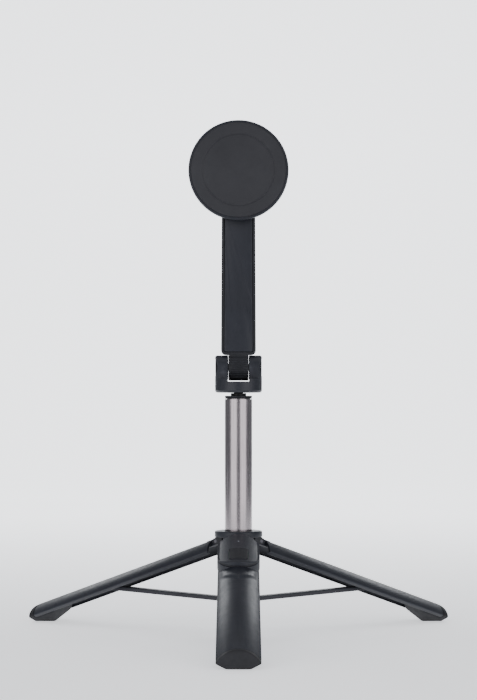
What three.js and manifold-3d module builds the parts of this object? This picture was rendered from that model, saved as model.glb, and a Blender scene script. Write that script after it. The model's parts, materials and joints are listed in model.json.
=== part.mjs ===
// Tripod selfie stick with a magnetic phone plate, standing with its three legs open.
// Millimetres, +Z up, the floor at z = 0 and the front leg pointing along -Y.
import * as THREE from "three";
import { mergeVertices } from "three/addons/utils/BufferGeometryUtils.js";
import Module from "manifold-3d";

const wasm = await Module();
wasm.setup();

// ---- Driving dimensions ----
// Legs: three shells that close into a round handle around the pole's axis.
const HANDLE_R = 13.3;
const LEG_WALL = 1.6;
const LEG_HALF_ANGLE = 59;
const LEG_LIP_R = HANDLE_R - 2.8;
const LEG_LIP_ANGLE = 3;
const LEG_LENGTH = 137;
const LEG_OPEN_ANGLE = 70.6;
const LEG_AZIMUTHS = { front: -90, right: 30, left: 150 };
const HINGE_R = HANDLE_R - 1.8;
// The open leg's end stands this far above the floor.
const LEG_END_HEIGHT = 6.494;
const HINGE_PIN_R = 1;
const KNUCKLE_R = 1.8;
const KNUCKLE_WIDTH = 7;
const SHELL_START = 4;
// Feet: rubber plugs with a flat sole that lies on the floor when the legs are open.
const FOOT_PLUG = 19;
const FOOT_LENGTH = 5.95;
const SOLE_LENGTH = 9.5;
const SOLE_SETBACK = 5.22;
const TOE_REACH = 1.7;
const TOE_HEIGHT = 4;
const HEEL_REACH = 5.5;
const HEEL_HEIGHT = 6.5;
const PLUG_MARGIN = 9;
// Braces: flat bars between the slider on the stem and a track inside each leg.
const BRACE_WIDTH = 6;
const BRACE_THICKNESS = 2.4;
const BRACE_REACH = 82.5;
const BRACE_PIN_R = 0.55;
const TRACK_R = 9;
const TRACK_PIN_LENGTH = 12;
// Slider and the stem it runs on.
const SLIDER_DROP = 32.5;
const SLIDER_HEIGHT = 8;
const SLIDER_R = 7.2;
const EAR_WALL = 1.5;
const STEM_R = 5;
const STEM_CAP_R = 6.5;
const STEM_CAP_HEIGHT = 5.6;
const STEM_SOCKET = 4.3;
// Hub at the top of the handle.
const HUB_RISE = 6;
const POLE_DROP = 6.7;
const HUB_CAP_HEIGHT = 3.4;
const HUB_CORE_R = 9;
const HUB_FLOOR = 4;
const HUB_EAR_WALL = 2.6;
// Pole: four nested sections.
const POLE_R = 7.65;
const POLE_STEP = 1.1;
const POLE_WALL = 0.6;
const POLE_LENGTH = 86.2;
const SECTION_COUNT = 4;
const SECTION_RISE = 0.15;
const BUSH_HEIGHT = 3;
const BUSH_LIFT = 0.7;
const COLLAR_HEIGHT = 1.6;
const LIP_DEPTH = 0.35;
const LIP_HEIGHT = 1.5;
// Yoke that turns on the pole and holds the arm's barrel.
const NECK_R = 2.6;
const NECK_REACH = 1.75;
const NECK_PLUG_DEPTH = 12;
const NECK_SHOULDER = 0.25;
const NECK_SINK = 1;
const YOKE_R = 13.2;
const YOKE_BASE_HEIGHT = 6.1;
const YOKE_BASE_RISE = 1.6;
const CHEEK_R = 6.8;
const YOKE_GAP = 12;
const YOKE_EDGE = 1.2;
const BARREL_R = 7.4;
const BARREL_WIDTH = 11.2;
const BARREL_LIFT = 14.15;
const ARM_PIN_R = 2;
const PIN_CAP_R = 4.7;
const PIN_CAP_DEPTH = 1.4;
const WASHER_R = 6.7;
const WASHER_THICKNESS = 0.2;
// Arm between the yoke and the phone plate.
const ARM_LENGTH = 110;
const ARM_FOOT = 7;
const ARM_WIDTH = 19.5;
const ARM_TOP_WIDTH = 18.6;
const ARM_THICKNESS = 8;
const ARM_COVER_DEPTH = 1.6;
const ARM_RIM = 2.4;
// Magnetic phone plate.
const PLATE_R = 28;
const PLATE_BACK = 4.6;
const PLATE_FLOOR = 1.5;
const PLATE_FRONT = 1.4;
const PLATE_RIM = 1.6;
const PAD_THICKNESS = 0.9;
const PAD_R = 26.4;
const MAGNET_INNER_R = 20.5;
const MAGNET_THICKNESS = 1.7;
const SHIELD_THICKNESS = 0.5;
const SWIVEL_R = 2;
const SWIVEL_HEAD_R = 3.6;
const SWIVEL_HEAD_HEIGHT = 1.4;
const SWIVEL_SINK = 0.2;
const SWIVEL_WASHER_R = 7.5;
const SWIVEL_WASHER_THICKNESS = 0.7;
const PLATE_HUB_R = 7.5;
const PLATE_HUB_WALL = 2.4;
const PLATE_HUB_FLOOR = 2;
const NUT_HEIGHT = 1.6;
// Remote control docked on the front leg.
const REMOTE_WIDTH = 23;
const REMOTE_LENGTH = 37.4;
const REMOTE_START = 1.2;
const REMOTE_SEAT = HANDLE_R + 0.4;
const REMOTE_FACE = REMOTE_SEAT + 3.6;
const REMOTE_CROWN_R = 23.3;
const TRAY_WIDTH = 14;
const TRAY_LENGTH = 27.5;
const TRAY_DEPTH = 3;
const TRAY_FLANGE = 0.9;
const REMOTE_WALL = 1;
const BUTTON_WIDTH = 10;
const BUTTON_LENGTH = 14.5;
const BUTTON_PLACE = 26.3;
const BUTTON_PROUD = 0.35;
const LED_R = 0.5;
const LED_PLACE = 10;
const BOARD_THICKNESS = 0.8;
const CELL_R = 5.4;
const CELL_THICKNESS = 1.2;
// Clearances.
const GAP = 0.3;
const SLIDE_GAP = 0.1;
const PIN_GAP = 0.15;
// Sides of a round: most turned pieces, the large plate, and small pins.
const ROUND = 24;
const PLATE_ROUND = 40;
const PIN_ROUND = 12;

const rad = THREE.MathUtils.degToRad;

// ---- Worked out from the driving dimensions ----
const open = { sin: Math.sin(rad(LEG_OPEN_ANGLE)), cos: Math.cos(rad(LEG_OPEN_ANGLE)) };
const hingeZ = LEG_LENGTH * open.cos + LEG_END_HEIGHT;
const soleEnd = HINGE_R + LEG_LENGTH * open.sin - SOLE_SETBACK;
const sliderZ = hingeZ - SLIDER_DROP;
const hubTop = hingeZ + HUB_RISE;
const poleBottom = hingeZ - POLE_DROP;

// ---- Helpers: closed geometry to solids and back ----
function solid(geometry) {
  const bare = new THREE.BufferGeometry();
  const plain = geometry.index ? geometry.toNonIndexed() : geometry;
  bare.setAttribute("position", plain.getAttribute("position").clone());
  const merged = mergeVertices(bare, 1e-4);
  const corners = merged.index.array;
  const kept = [];
  for (let i = 0; i < corners.length; i += 3) {
    const [a, b, c] = [corners[i], corners[i + 1], corners[i + 2]];
    if (a !== b && b !== c && c !== a) kept.push(a, b, c);
  }
  const vertProperties = new Float32Array(merged.getAttribute("position").array);
  const make = (list) =>
    new wasm.Manifold(
      new wasm.Mesh({ numProp: 3, vertProperties, triVerts: new Uint32Array(list) }),
    );
  const body = make(kept);
  if (body.volume() > 0) return body;
  const flipped = [];
  for (let i = 0; i < kept.length; i += 3) flipped.push(kept[i], kept[i + 2], kept[i + 1]);
  return make(flipped);
}

function geometryOf(body) {
  const data = body.getMesh();
  const points = new Float32Array(data.numVert * 3);
  for (let i = 0; i < data.numVert; i++) {
    points.set(data.vertProperties.subarray(i * data.numProp, i * data.numProp + 3), i * 3);
  }
  const geometry = new THREE.BufferGeometry();
  geometry.setAttribute("position", new THREE.BufferAttribute(points, 3));
  geometry.setIndex(new THREE.BufferAttribute(new Uint32Array(data.triVerts), 1));
  geometry.computeVertexNormals();
  return geometry;
}

// A closed profile of [radius, height] points turned about Z.
function turned(profile, segments = ROUND) {
  const points = profile.map(([r, z]) => new THREE.Vector2(r, z));
  return solid(new THREE.LatheGeometry(points, segments).rotateX(Math.PI / 2));
}

function rod(radius, low, high, segments = ROUND) {
  return turned([[0, low], [radius, low], [radius, high], [0, high]], segments);
}

function ring(outer, inner, low, high, segments = ROUND) {
  const profile = [[inner, low], [outer, low], [outer, high], [inner, high], [inner, low]];
  return turned(profile, segments);
}

function block([x0, x1], [y0, y1], [z0, z1]) {
  const box = new THREE.BoxGeometry(x1 - x0, y1 - y0, z1 - z0);
  return solid(box.translate((x0 + x1) / 2, (y0 + y1) / 2, (z0 + z1) / 2));
}

// A flat outline pushed along +Z.
function pushed(shape, low, high, curveSegments = 10) {
  const options = { depth: high - low, bevelEnabled: false, curveSegments };
  return solid(new THREE.ExtrudeGeometry(shape, options).translate(0, 0, low));
}

function polygon(points) {
  return new THREE.Shape(points.map(([x, y]) => new THREE.Vector2(x, y)));
}

// A stadium: a bar with round ends, centred on the origin, its length along Y.
function stadium(width, length) {
  const r = width / 2;
  const half = length / 2 - r;
  const shape = new THREE.Shape();
  shape.absarc(0, half, r, 0, Math.PI, false);
  shape.absarc(0, -half, r, Math.PI, 2 * Math.PI, false);
  shape.closePath();
  return shape;
}

// Turns a body made with its axis along Z so that the axis lies along X or Y.
const alongX = (body) => body.rotate([0, 90, 0]);
const alongY = (body) => body.rotate([-90, 0, 0]);
// Turns an outline drawn in X (kept) and Y (becomes Z), pushed along Z (becomes -Y).
const standing = (body) => body.rotate([90, 0, 0]);

// ---- Materials ----
const material = (color, roughness, metalness) =>
  new THREE.MeshStandardMaterial({ color, roughness, metalness });
const finishes = {
  shell: material(0x23262d, 0.45, 0),
  trim: material(0x15171b, 0.55, 0),
  gunmetal: material(0x8b8184, 0.32, 1),
  steel: material(0x9a9ca0, 0.3, 1),
  rubber: material(0x101114, 0.85, 0),
  magnet: material(0x8f8f92, 0.35, 1),
  board: material(0x1d4a32, 0.6, 0),
  lamp: material(0xd8dce2, 0.25, 0),
};

const stand = new THREE.Group();

function place(group, name, finish, body) {
  const mesh = new THREE.Mesh(geometryOf(body), finishes[finish]);
  mesh.name = name;
  group.add(mesh);
}

// ---- Leg: drawn closed, X outwards from the pole's axis and Z up from the hinge ----
const legInner = HANDLE_R - LEG_WALL;

// The floor-side point (reach, height) of the open leg, in the closed leg's own frame.
function inLeg(reach, height) {
  const dx = reach - HINGE_R;
  const dz = height - hingeZ;
  return [HINGE_R + dx * open.cos + dz * open.sin, -(dx * open.sin - dz * open.cos)];
}

// Where a point of the closed leg lies once the leg is open.
function openPoint(x, z) {
  const dx = x - HINGE_R;
  return [HINGE_R + dx * open.cos - z * open.sin, hingeZ + dx * open.sin + z * open.cos];
}

function shellOutline() {
  const edge = rad(LEG_HALF_ANGLE);
  const lip = rad(LEG_HALF_ANGLE - LEG_LIP_ANGLE);
  const shape = new THREE.Shape();
  shape.absarc(0, 0, HANDLE_R, -edge, edge, false);
  shape.lineTo(LEG_LIP_R * Math.cos(edge), LEG_LIP_R * Math.sin(edge));
  shape.lineTo(LEG_LIP_R * Math.cos(lip), LEG_LIP_R * Math.sin(lip));
  shape.absarc(0, 0, legInner, lip, -lip, true);
  shape.lineTo(LEG_LIP_R * Math.cos(lip), -LEG_LIP_R * Math.sin(lip));
  shape.lineTo(LEG_LIP_R * Math.cos(edge), -LEG_LIP_R * Math.sin(edge));
  shape.closePath();
  return shape;
}

// One third of a round bar, with a narrow gap to its neighbours.
function sector(radius, halfAngle = 60) {
  const apex = GAP / 2 / Math.sin(rad(halfAngle));
  const turn = rad(halfAngle) - Math.asin((apex * Math.sin(rad(halfAngle))) / radius);
  const shape = new THREE.Shape();
  shape.moveTo(apex, 0);
  shape.lineTo(radius * Math.cos(turn), -radius * Math.sin(turn));
  shape.absarc(0, 0, radius, -turn, turn, false);
  shape.closePath();
  return shape;
}

const shellEnd = -(LEG_LENGTH - FOOT_LENGTH);

function legShell() {
  const shell = pushed(shellOutline(), shellEnd, -SHELL_START, 14);
  const half = KNUCKLE_WIDTH / 2;
  const tongueTop = block([HINGE_R - KNUCKLE_R, HANDLE_R], [-half, half], [-SHELL_START - 3, 0]);
  const eye = alongY(rod(KNUCKLE_R, -half, half, PIN_ROUND)).translate([HINGE_R, 0, 0]);
  const hole = alongY(rod(HINGE_PIN_R + PIN_GAP, -half - 1, half + 1, PIN_ROUND));
  return shell.add(tongueTop).add(eye).subtract(hole.translate([HINGE_R, 0, 0]));
}

// Rubber plug: its side outline is cut to the floor line, its section to the leg's third.
function footBody() {
  const toe = new THREE.Vector2(...inLeg(soleEnd + TOE_REACH, TOE_HEIGHT));
  const crown = new THREE.Vector2(HANDLE_R, shellEnd - 2 * GAP);
  const bend = new THREE.Vector2(HANDLE_R - GAP, toe.y + GAP);
  const curve = new THREE.QuadraticBezierCurve(crown, bend, toe);
  const side = [
    ...curve.getPoints(6).map((p) => [p.x, p.y]),
    inLeg(soleEnd, 0),
    inLeg(soleEnd - SOLE_LENGTH, 0),
    inLeg(soleEnd - SOLE_LENGTH - HEEL_REACH, HEEL_HEIGHT),
    [TRACK_R, shellEnd + FOOT_PLUG],
    [HANDLE_R, shellEnd + FOOT_PLUG],
  ];
  const cutter = standing(pushed(polygon(side), -HANDLE_R, HANDLE_R));
  const low = toe.y - HANDLE_R;
  const outside = pushed(sector(HANDLE_R), low, shellEnd - GAP, 14);
  const lipGap = pushed(sector(LEG_LIP_R - GAP), low, shellEnd + FOOT_PLUG, 14);
  const plugSector = sector(legInner - GAP, LEG_HALF_ANGLE - PLUG_MARGIN);
  const plug = pushed(plugSector, low, shellEnd + FOOT_PLUG, 14);
  return outside.add(lipGap).add(plug).intersect(cutter);
}

// ---- Remote: drawn in the closed leg's frame; outlines lie in the Y-Z plane, pushed outwards ----
const remoteMid = -(REMOTE_START + REMOTE_LENGTH / 2);
const facing = (body) => body.rotate([0, 90, 0]).rotate([90, 0, 0]);
const pill = (width, length, low, high) =>
  facing(pushed(stadium(width, length), low, high, 8)).translate([0, 0, remoteMid]);

function crownCutter(radius, face) {
  const bar = rod(radius, remoteMid - REMOTE_LENGTH, remoteMid + REMOTE_LENGTH, 72);
  return bar.translate([face - radius, 0, 0]);
}

const trayTop = REMOTE_SEAT + GAP;
const trayFloor = trayTop - TRAY_DEPTH;
const coverInside = REMOTE_FACE - REMOTE_WALL;
const buttonMid = -(REMOTE_START + BUTTON_PLACE);
const buttonShape = (grow) => {
  const [w, l, r] = [BUTTON_WIDTH / 2 + grow, BUTTON_LENGTH / 2 + grow, 2 + grow];
  const shape = new THREE.Shape();
  shape.absarc(w - r, l - r, r, 0, Math.PI / 2, false);
  shape.absarc(r - w, l - r, r, Math.PI / 2, Math.PI, false);
  shape.absarc(r - w, r - l, r, Math.PI, 1.5 * Math.PI, false);
  shape.absarc(w - r, r - l, r, 1.5 * Math.PI, 2 * Math.PI, false);
  shape.closePath();
  return shape;
};
const buttonBody = (grow, low, high) =>
  facing(pushed(buttonShape(grow), low, high, 4)).translate([0, 0, buttonMid]);
const ledBody = (radius, low, high) =>
  alongX(rod(radius, low, high, PIN_ROUND)).translate([0, 0, -(REMOTE_START + LED_PLACE)]);

function addRemote(group) {
  const tray = pill(REMOTE_WIDTH, REMOTE_LENGTH, trayTop, trayTop + TRAY_FLANGE)
    .add(pill(TRAY_WIDTH, TRAY_LENGTH, trayFloor, trayTop + 0.2))
    .subtract(pill(TRAY_WIDTH - 2 * REMOTE_WALL, TRAY_LENGTH - 2 * REMOTE_WALL,
      trayFloor + REMOTE_WALL, REMOTE_SEAT + 3));
  place(group, "remote_tray", "trim", tray);
  const inner = 2 * REMOTE_WALL;
  const hollow = pill(REMOTE_WIDTH - inner, REMOTE_LENGTH - inner, REMOTE_SEAT, REMOTE_FACE)
    .intersect(crownCutter(REMOTE_CROWN_R - REMOTE_WALL, coverInside));
  const cover = pill(REMOTE_WIDTH, REMOTE_LENGTH, trayTop + TRAY_FLANGE + SLIDE_GAP, REMOTE_FACE + 1)
    .intersect(crownCutter(REMOTE_CROWN_R, REMOTE_FACE))
    .subtract(hollow)
    .subtract(buttonBody(GAP, REMOTE_SEAT, REMOTE_FACE + 2))
    .subtract(ledBody(LED_R + PIN_GAP, REMOTE_SEAT, REMOTE_FACE + 2));
  place(group, "remote_cover", "shell", cover);
  const boardLow = trayFloor + REMOTE_WALL + CELL_THICKNESS + 2 * GAP;
  const board = pill(TRAY_WIDTH - 2 * REMOTE_WALL - 2 * GAP, TRAY_LENGTH - 4 * REMOTE_WALL,
    boardLow, boardLow + BOARD_THICKNESS);
  place(group, "remote_board", "board", board);
  const cell = alongX(rod(CELL_R, trayFloor + REMOTE_WALL + GAP, boardLow - GAP));
  place(group, "remote_cell", "steel", cell.translate([0, 0, remoteMid]));
  const led = ledBody(LED_R, boardLow + BOARD_THICKNESS + GAP, REMOTE_FACE - 0.05);
  place(group, "remote_led", "lamp", led);
  const button = buttonBody(0, coverInside - 0.8, REMOTE_FACE + 1)
    .intersect(crownCutter(REMOTE_CROWN_R + BUTTON_PROUD, REMOTE_FACE + BUTTON_PROUD));
  place(group, "remote_button", "trim", button);
}

// The front leg carries a flat seat for the remote, with a window for its tray.
function frontShell() {
  const seat = pill(REMOTE_WIDTH, REMOTE_LENGTH, 4, REMOTE_SEAT)
    .subtract(rod(legInner, -LEG_LENGTH, 0));
  const tongueRoom = block([0, HANDLE_R + 4], [-HANDLE_R, HANDLE_R], [-SHELL_START, 10]);
  const window = pill(TRAY_WIDTH + 2 * GAP, TRAY_LENGTH + 2 * GAP, TRACK_R - 1, REMOTE_SEAT + 2);
  const wedge = pushed(sector(REMOTE_WIDTH), -LEG_LENGTH, 0);
  return seat.subtract(tongueRoom).intersect(wedge).add(legShell()).subtract(window);
}

// ---- Slider and braces ----
const sliderLow = sliderZ - SLIDER_HEIGHT / 2;
const sliderHigh = sliderZ + SLIDER_HEIGHT / 2;
const earOutside = BRACE_WIDTH / 2 + GAP + EAR_WALL;
const eyeR = BRACE_THICKNESS / 2;
const [trackX, trackZ] = openPoint(TRACK_R, -BRACE_REACH);
const braceLength = Math.hypot(trackX - TRACK_R, trackZ - sliderZ);
const braceTilt = Math.atan2(trackZ - sliderZ, trackX - TRACK_R);

function sliderBody() {
  let body = ring(SLIDER_R, STEM_R + GAP, sliderLow, sliderHigh);
  for (const azimuth of Object.values(LEG_AZIMUTHS)) {
    for (const side of [-1, 1]) {
      const y0 = side > 0 ? earOutside - EAR_WALL : -earOutside;
      const span = [y0, y0 + EAR_WALL];
      const root = block([STEM_R + 0.8, TRACK_R], span, [sliderZ - eyeR, sliderZ + eyeR]);
      const tip = alongY(rod(eyeR, ...span, PIN_ROUND)).translate([TRACK_R, 0, sliderZ]);
      const hole = alongY(rod(BRACE_PIN_R + PIN_GAP, y0 - 1, y0 + EAR_WALL + 1, PIN_ROUND));
      const ear = root.add(tip).subtract(hole.translate([TRACK_R, 0, sliderZ]));
      body = body.add(ear.rotate([0, 0, azimuth]));
    }
  }
  return body;
}

// Drawn level, from the slider's pin at the origin to the track pin.
function braceBody() {
  const half = BRACE_WIDTH / 2;
  let body = block([0, braceLength], [-half, half], [-eyeR, eyeR]);
  for (const x of [0, braceLength]) {
    body = body.add(alongY(rod(eyeR, -half, half, PIN_ROUND)).translate([x, 0, 0]));
  }
  for (const x of [0, braceLength]) {
    const hole = alongY(rod(BRACE_PIN_R + PIN_GAP, -half - 1, half + 1, PIN_ROUND));
    body = body.subtract(hole.translate([x, 0, 0]));
  }
  return body;
}

// ---- Hub: core with a socket for the pole, ears for the legs and the stem below ----
const capLow = hubTop - HUB_CAP_HEIGHT;
const coreTop = capLow - GAP;
const knuckleHalf = KNUCKLE_WIDTH / 2 + GAP;
const coreLow = poleBottom - GAP - HUB_FLOOR;
const stemEnd = sliderLow - GAP - STEM_SOCKET;

function hubBody() {
  let body = turned([
    [0, stemEnd],
    [STEM_R, stemEnd],
    [STEM_R, coreLow],
    [HUB_CORE_R, coreLow],
    [HUB_CORE_R, coreTop],
    [POLE_R + PIN_GAP, coreTop],
    [POLE_R + PIN_GAP, poleBottom - GAP],
    [0, poleBottom - GAP],
  ]);
  const bore = rod(POLE_R + PIN_GAP, poleBottom - GAP, hubTop + 1);
  for (const azimuth of Object.values(LEG_AZIMUTHS)) {
    for (const side of [-1, 1]) {
      const near = side > 0 ? knuckleHalf : -knuckleHalf - HUB_EAR_WALL;
      const span = [near, near + HUB_EAR_WALL];
      const root = block([HUB_CORE_R - 2, HINGE_R], span, [hingeZ - KNUCKLE_R, coreTop]);
      const tip = alongY(rod(KNUCKLE_R, ...span, PIN_ROUND)).translate([HINGE_R, 0, hingeZ]);
      const hole = alongY(rod(HINGE_PIN_R + PIN_GAP, near - 1, near + HUB_EAR_WALL + 1, PIN_ROUND));
      const ear = root.add(tip).subtract(hole.translate([HINGE_R, 0, hingeZ]));
      body = body.add(ear.rotate([0, 0, azimuth]));
    }
  }
  return body.subtract(bore);
}

place(stand, "hub_body", "trim", hubBody());
place(stand, "hub_cap", "shell", turned([
  [POLE_R + PIN_GAP, capLow],
  [HANDLE_R - 0.4, capLow],
  [HANDLE_R + 0.05, capLow + 0.6],
  [HANDLE_R + 0.05, hubTop - 0.8],
  [HANDLE_R - 0.75, hubTop],
  [POLE_R + PIN_GAP, hubTop],
  [POLE_R + PIN_GAP, capLow],
]));
place(stand, "stem_cap", "trim", turned([
  [0, sliderLow - GAP - STEM_CAP_HEIGHT],
  [STEM_CAP_R - 1, sliderLow - GAP - STEM_CAP_HEIGHT],
  [STEM_CAP_R, sliderLow - GAP - STEM_CAP_HEIGHT + 1],
  [STEM_CAP_R, sliderLow - GAP],
  [STEM_R + PIN_GAP, sliderLow - GAP],
  [STEM_R + PIN_GAP, stemEnd - PIN_GAP],
  [0, stemEnd - PIN_GAP],
]));
place(stand, "slider", "trim", sliderBody());

for (const [side, azimuth] of Object.entries(LEG_AZIMUTHS)) {
  const spoke = new THREE.Group();
  spoke.rotation.z = rad(azimuth);
  stand.add(spoke);
  const leg = new THREE.Group();
  leg.position.set(HINGE_R, 0, hingeZ);
  leg.rotation.y = -rad(LEG_OPEN_ANGLE);
  spoke.add(leg);
  const drawn = new THREE.Group();
  drawn.position.x = -HINGE_R;
  leg.add(drawn);
  place(drawn, `leg_shell_${side}`, "shell", side === "front" ? frontShell() : legShell());
  place(drawn, `foot_${side}`, "rubber", footBody());
  if (side === "front") addRemote(drawn);
  const half = knuckleHalf + HUB_EAR_WALL - 0.2;
  const hingePin = alongY(rod(HINGE_PIN_R, -half, half, PIN_ROUND));
  place(spoke, `leg_pin_${side}`, "steel", hingePin.translate([HINGE_R, 0, hingeZ]));
  const brace = new THREE.Group();
  brace.position.set(TRACK_R, 0, sliderZ);
  brace.rotation.y = -braceTilt;
  spoke.add(brace);
  place(brace, `brace_${side}`, "trim", braceBody());
  const sliderPin = alongY(rod(BRACE_PIN_R, -earOutside, earOutside, PIN_ROUND));
  place(spoke, `slider_pin_${side}`, "steel", sliderPin.translate([TRACK_R, 0, sliderZ]));
  const trackPin = alongY(rod(BRACE_PIN_R, -TRACK_PIN_LENGTH / 2, TRACK_PIN_LENGTH / 2, PIN_ROUND));
  place(brace, `track_pin_${side}`, "steel", trackPin.translate([braceLength, 0, 0]));
}

// ---- Pole: section 1 is fixed in the hub, the others slide out of each other ----
const poleTop = poleBottom + POLE_LENGTH;
const collarTop = poleTop + GAP + COLLAR_HEIGHT;
const sectionR = (n) => POLE_R - (n - 1) * POLE_STEP;
place(stand, "pole_1", "gunmetal",
  ring(sectionR(1), sectionR(1) - POLE_WALL, poleBottom, poleTop));
place(stand, "pole_collar", "trim",
  ring(POLE_R, sectionR(2) + PIN_GAP, poleTop + GAP, collarTop));
const bushLow = poleBottom + BUSH_LIFT;
for (let n = 2; n <= SECTION_COUNT; n++) {
  const outer = sectionR(n);
  const inner = outer - POLE_WALL;
  const bushR = sectionR(n - 1) - POLE_WALL - SLIDE_GAP;
  place(stand, `pole_bush_${n}`, "trim", ring(bushR, inner, bushLow, bushLow + BUSH_HEIGHT));
  const low = bushLow + BUSH_HEIGHT + GAP;
  const high = collarTop - 1 + (n - 1) * SECTION_RISE;
  const lip = n < SECTION_COUNT ? LIP_DEPTH : 0;
  const profile = [[inner, low], [outer, low], [outer, high], [inner - lip, high]];
  if (lip) profile.push([inner - lip, high - LIP_HEIGHT], [inner, high - LIP_HEIGHT - 0.4]);
  profile.push([inner, low]);
  place(stand, `pole_${n}`, "gunmetal", turned(profile));
}

// ---- Neck plug, yoke and arm ----
const yokeLow = collarTop + NECK_REACH;
const floorZ = yokeLow + YOKE_BASE_HEIGHT;
const armZ = yokeLow + BARREL_LIFT;
const topInner = sectionR(SECTION_COUNT) - POLE_WALL;
place(stand, "neck_plug", "trim", turned([
  [0, collarTop - NECK_PLUG_DEPTH],
  [topInner - SLIDE_GAP, collarTop - NECK_PLUG_DEPTH],
  [topInner - SLIDE_GAP, collarTop - NECK_SHOULDER],
  [sectionR(SECTION_COUNT), collarTop - NECK_SHOULDER],
  [sectionR(SECTION_COUNT), yokeLow - GAP],
  [NECK_R, yokeLow - GAP],
  [NECK_R, floorZ - NECK_SINK],
  [0, floorZ - NECK_SINK],
]));

function yokeBody() {
  const e = YOKE_EDGE;
  const top = armZ + CHEEK_R;
  const drum = turned([
    [0, yokeLow], [YOKE_R - e, yokeLow], [YOKE_R - e * 0.3, yokeLow + e * 0.3],
    [YOKE_R, yokeLow + e], [YOKE_R, top - e], [YOKE_R - e * 0.3, top - e * 0.3],
    [YOKE_R - e, top], [0, top],
  ], PLATE_ROUND);
  const base = block([-YOKE_R, YOKE_R], [-YOKE_R, YOKE_R], [yokeLow - 1, floorZ + YOKE_BASE_RISE]);
  const cheeks = block([-YOKE_R, YOKE_R], [-CHEEK_R, CHEEK_R], [yokeLow, armZ])
    .add(alongX(rod(CHEEK_R, -YOKE_R, YOKE_R)).translate([0, 0, armZ]));
  const slotHalf = YOKE_GAP / 2;
  const slot = block([-slotHalf, slotHalf], [-YOKE_R, YOKE_R], [floorZ, top + 1]);
  const pinHole = alongX(rod(ARM_PIN_R + PIN_GAP, -YOKE_R, YOKE_R, PIN_ROUND)).translate([0, 0, armZ]);
  let body = drum.intersect(base.add(cheeks)).subtract(slot).subtract(pinHole);
  for (const side of [-1, 1]) {
    const recess = alongX(rod(PIN_CAP_R + GAP, 0, YOKE_R));
    body = body.subtract(recess.translate([side > 0 ? YOKE_R - PIN_CAP_DEPTH :
      PIN_CAP_DEPTH - 2 * YOKE_R, 0, armZ]));
  }
  return body.subtract(rod(NECK_R + PIN_GAP, yokeLow - 1, floorZ - NECK_SINK + GAP));
}
place(stand, "yoke", "shell", yokeBody());

const pinEnd = YOKE_R - PIN_CAP_DEPTH - GAP;
place(stand, "arm_pin", "steel",
  alongX(rod(ARM_PIN_R, -pinEnd, pinEnd, PIN_ROUND)).translate([0, 0, armZ]));
for (const [name, side] of [["left", -1], ["right", 1]]) {
  const capNear = pinEnd + GAP * 2;
  const cap = alongX(rod(PIN_CAP_R, capNear, YOKE_R - 0.2)).translate([0, 0, armZ]);
  place(stand, `pin_cap_${name}`, "trim", side > 0 ? cap : cap.rotate([0, 0, 180]));
  const near = BARREL_WIDTH / 2 + PIN_GAP;
  const washer = alongX(ring(WASHER_R, ARM_PIN_R + PIN_GAP, near, near + WASHER_THICKNESS));
  const seated = washer.translate([0, 0, armZ]);
  place(stand, `arm_washer_${name}`, "steel", side > 0 ? seated : seated.rotate([0, 0, 180]));
}

// The arm's outline, tapering up to a round end about the swivel.
const plateZ = armZ + ARM_LENGTH;
const armLow = armZ + ARM_FOOT;
function armOutline(inset) {
  const low = armLow + inset;
  const half = ARM_WIDTH / 2 - inset;
  const top = ARM_TOP_WIDTH / 2 - inset;
  const r = Math.max(2.5 - inset, 0.6);
  const shape = new THREE.Shape();
  shape.absarc(half - r, low + r, r, 1.5 * Math.PI, 2 * Math.PI, false);
  shape.absarc(0, plateZ, top, 0, Math.PI, false);
  shape.absarc(r - half, low + r, r, Math.PI, 1.5 * Math.PI, false);
  shape.closePath();
  return shape;
}

const armHalf = ARM_THICKNESS / 2;
function armBody() {
  const half = BARREL_WIDTH / 2;
  const slab = standing(pushed(armOutline(0), -armHalf, armHalf));
  const barrel = alongX(rod(BARREL_R, -half, half)).translate([0, 0, armZ]);
  const neck = block([-half, half], [-armHalf, armHalf], [armZ + 2, armLow + 1]);
  const recess = standing(pushed(armOutline(ARM_RIM), armHalf - ARM_COVER_DEPTH, armHalf + 1));
  const pinHole = alongX(rod(ARM_PIN_R + PIN_GAP, -half - 1, half + 1, PIN_ROUND));
  const swivelHole = alongY(rod(SWIVEL_R + PIN_GAP, -armHalf - 1, armHalf + 1, PIN_ROUND));
  const headDepth = SWIVEL_SINK + SWIVEL_HEAD_HEIGHT + GAP;
  const headHole = alongY(rod(SWIVEL_HEAD_R + GAP, armHalf - headDepth, armHalf + 1));
  return slab.add(neck).add(barrel).subtract(recess)
    .subtract(pinHole.translate([0, 0, armZ]))
    .subtract(swivelHole.translate([0, 0, plateZ]))
    .subtract(headHole.translate([0, 0, plateZ]));
}
place(stand, "arm_body", "trim", armBody());
const coverShape = armOutline(ARM_RIM + GAP);
const coverNear = armHalf - ARM_COVER_DEPTH + GAP;
place(stand, "arm_cover", "shell", standing(pushed(coverShape, coverNear, armHalf - 0.1))
  .subtract(alongY(rod(SWIVEL_R + PIN_GAP, -armHalf - 1, 0, PIN_ROUND)).translate([0, 0, plateZ])));

// ---- Phone plate: stacked along -Y from the arm's front face ----
const washerFront = armHalf + GAP + SWIVEL_WASHER_THICKNESS;
const backFace = washerFront + GAP;
const backFront = backFace + PLATE_BACK;
const shieldBack = backFace + PLATE_FLOOR + GAP;
const magnetBack = shieldBack + SHIELD_THICKNESS + GAP;
const frontBack = backFront + GAP;
const padBack = frontBack + PLATE_FRONT + GAP;
const cavityR = PLATE_R - PLATE_RIM;
const hubFloor = backFace + PLATE_HUB_FLOOR;
// A body turned about Z becomes one turned about the plate's own axis, facing -Y.
const onPlate = (body) => body.rotate([90, 0, 0]).translate([0, 0, plateZ]);
const plateRing = (outer, inner, low, high, segments = PLATE_ROUND) =>
  onPlate(ring(outer, inner, low, high, segments));

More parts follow.
